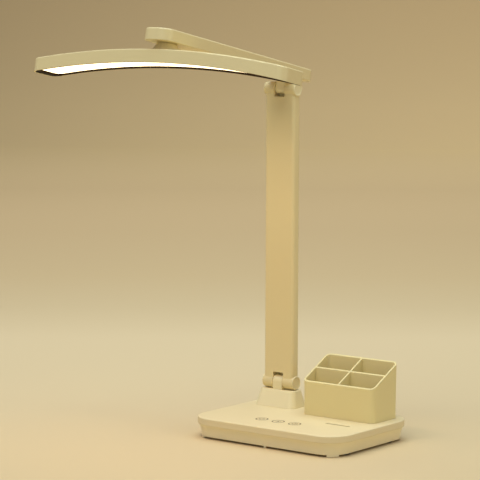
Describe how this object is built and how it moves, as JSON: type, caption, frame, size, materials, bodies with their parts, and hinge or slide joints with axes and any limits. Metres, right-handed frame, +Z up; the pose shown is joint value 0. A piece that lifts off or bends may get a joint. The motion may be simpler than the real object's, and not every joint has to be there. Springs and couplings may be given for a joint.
{
  "type": "desk lamp with pen holder base",
  "caption": "Folding LED desk lamp: flat touch base with a lift-off pen holder, upright hinged column, tilting arm and a swivelling arched light bar.",
  "frame": {"origin": "centre of the underside of the middle rubber foot, on the surface the lamp stands on", "axes": "+X to the right of a person at the desk, -Y towards that person, +Z up"},
  "size_m": [0.32, 0.2525, 0.427],
  "materials": {
    "casing": "warm cream ABS, fine satin moulded grain",
    "foot_rubber": "dull dark grey rubber",
    "icon_print": "cream film with brown printed rings and plain symbols",
    "foam": "dark conductive foam",
    "zinc_steel": "bright zinc plated steel",
    "bright_steel": "polished stainless port shell",
    "spring_steel": "dark spring steel",
    "bracket_steel": "bright machined steel",
    "hinge_cream": "cream powder coat over die-cast metal",
    "ballast_steel": "black oxide steel plate",
    "circuit_board": "green solder mask",
    "component_black": "black moulded components",
    "cell_foil": "silver laminated foil pouch",
    "lead_sleeve": "black sleeve",
    "friction_nylon": "natural nylon",
    "bezel_black": "satin black plastic trim",
    "diffuser_white": "milky translucent panel, lit warm white",
    "led_phosphor": "yellow phosphor in a white package"
  },
  "bodies": {
    "base": {"base_tray": "casing", "rubber_feet": "foot_rubber", "base_lid": "casing", "touch_icons": "icon_print", "touch_pads": "foam", "base_screws": "zinc_steel", "control_board": "circuit_board", "board_components": "component_black", "charge_board": "circuit_board", "charge_port": "bright_steel", "ballast_plate": "ballast_steel", "battery_cell": "cell_foil", "base_lead": "lead_sleeve", "pedestal": "casing", "pedestal_screws": "zinc_steel", "base_bracket": "hinge_cream", "bracket_screws": "zinc_steel"},
    "column": {"column_shell": "casing", "column_cover": "casing", "column_screws": "zinc_steel", "column_lead": "lead_sleeve", "lower_hinge_bolt": "zinc_steel", "lower_hinge_nut": "zinc_steel", "lower_friction_washers": "friction_nylon", "lower_end_caps": "casing", "upper_hinge_bolt": "zinc_steel", "upper_hinge_nut": "zinc_steel", "upper_friction_washers": "friction_nylon", "upper_end_caps": "casing"},
    "arm": {"arm_shell": "casing", "arm_cover": "casing", "arm_screws": "zinc_steel", "arm_bracket": "hinge_cream", "arm_bracket_screws": "zinc_steel", "arm_lead": "lead_sleeve"},
    "head": {"swivel_boss": "casing", "swivel_spindle": "bracket_steel", "swivel_washer": "spring_steel", "swivel_nut": "zinc_steel", "head_housing": "casing", "bezel_frame": "bezel_black", "diffuser": "diffuser_white", "led_boards": "circuit_board", "led_chips": "led_phosphor"},
    "pen_holder": {"pen_holder": "casing"}
  },
  "joints": [
    {"name": "column_tilt", "type": "hinge", "parent": "base", "child": "column", "pos_m": [-0.0565, 0.0416, 0.0475], "axis": [1, 0, 0], "range_deg": [-10, 45]},
    {"name": "arm_tilt", "type": "hinge", "parent": "column", "child": "arm", "pos_m": [-0.0565, 0.0416, 0.3595], "axis": [-1, 0, 0], "range_deg": [-55, 75]},
    {"name": "head_swivel", "type": "hinge", "parent": "arm", "child": "head", "pos_m": [-0.0565, -0.15207, 0.3982], "axis": [0, 0.196, 0.9806], "range_deg": [-90, 90]},
    {"name": "pen_holder_lift", "type": "slide", "parent": "base", "child": "pen_holder", "axis": [0, 0, 1], "range_m": [0, 0.03]}
  ]
}
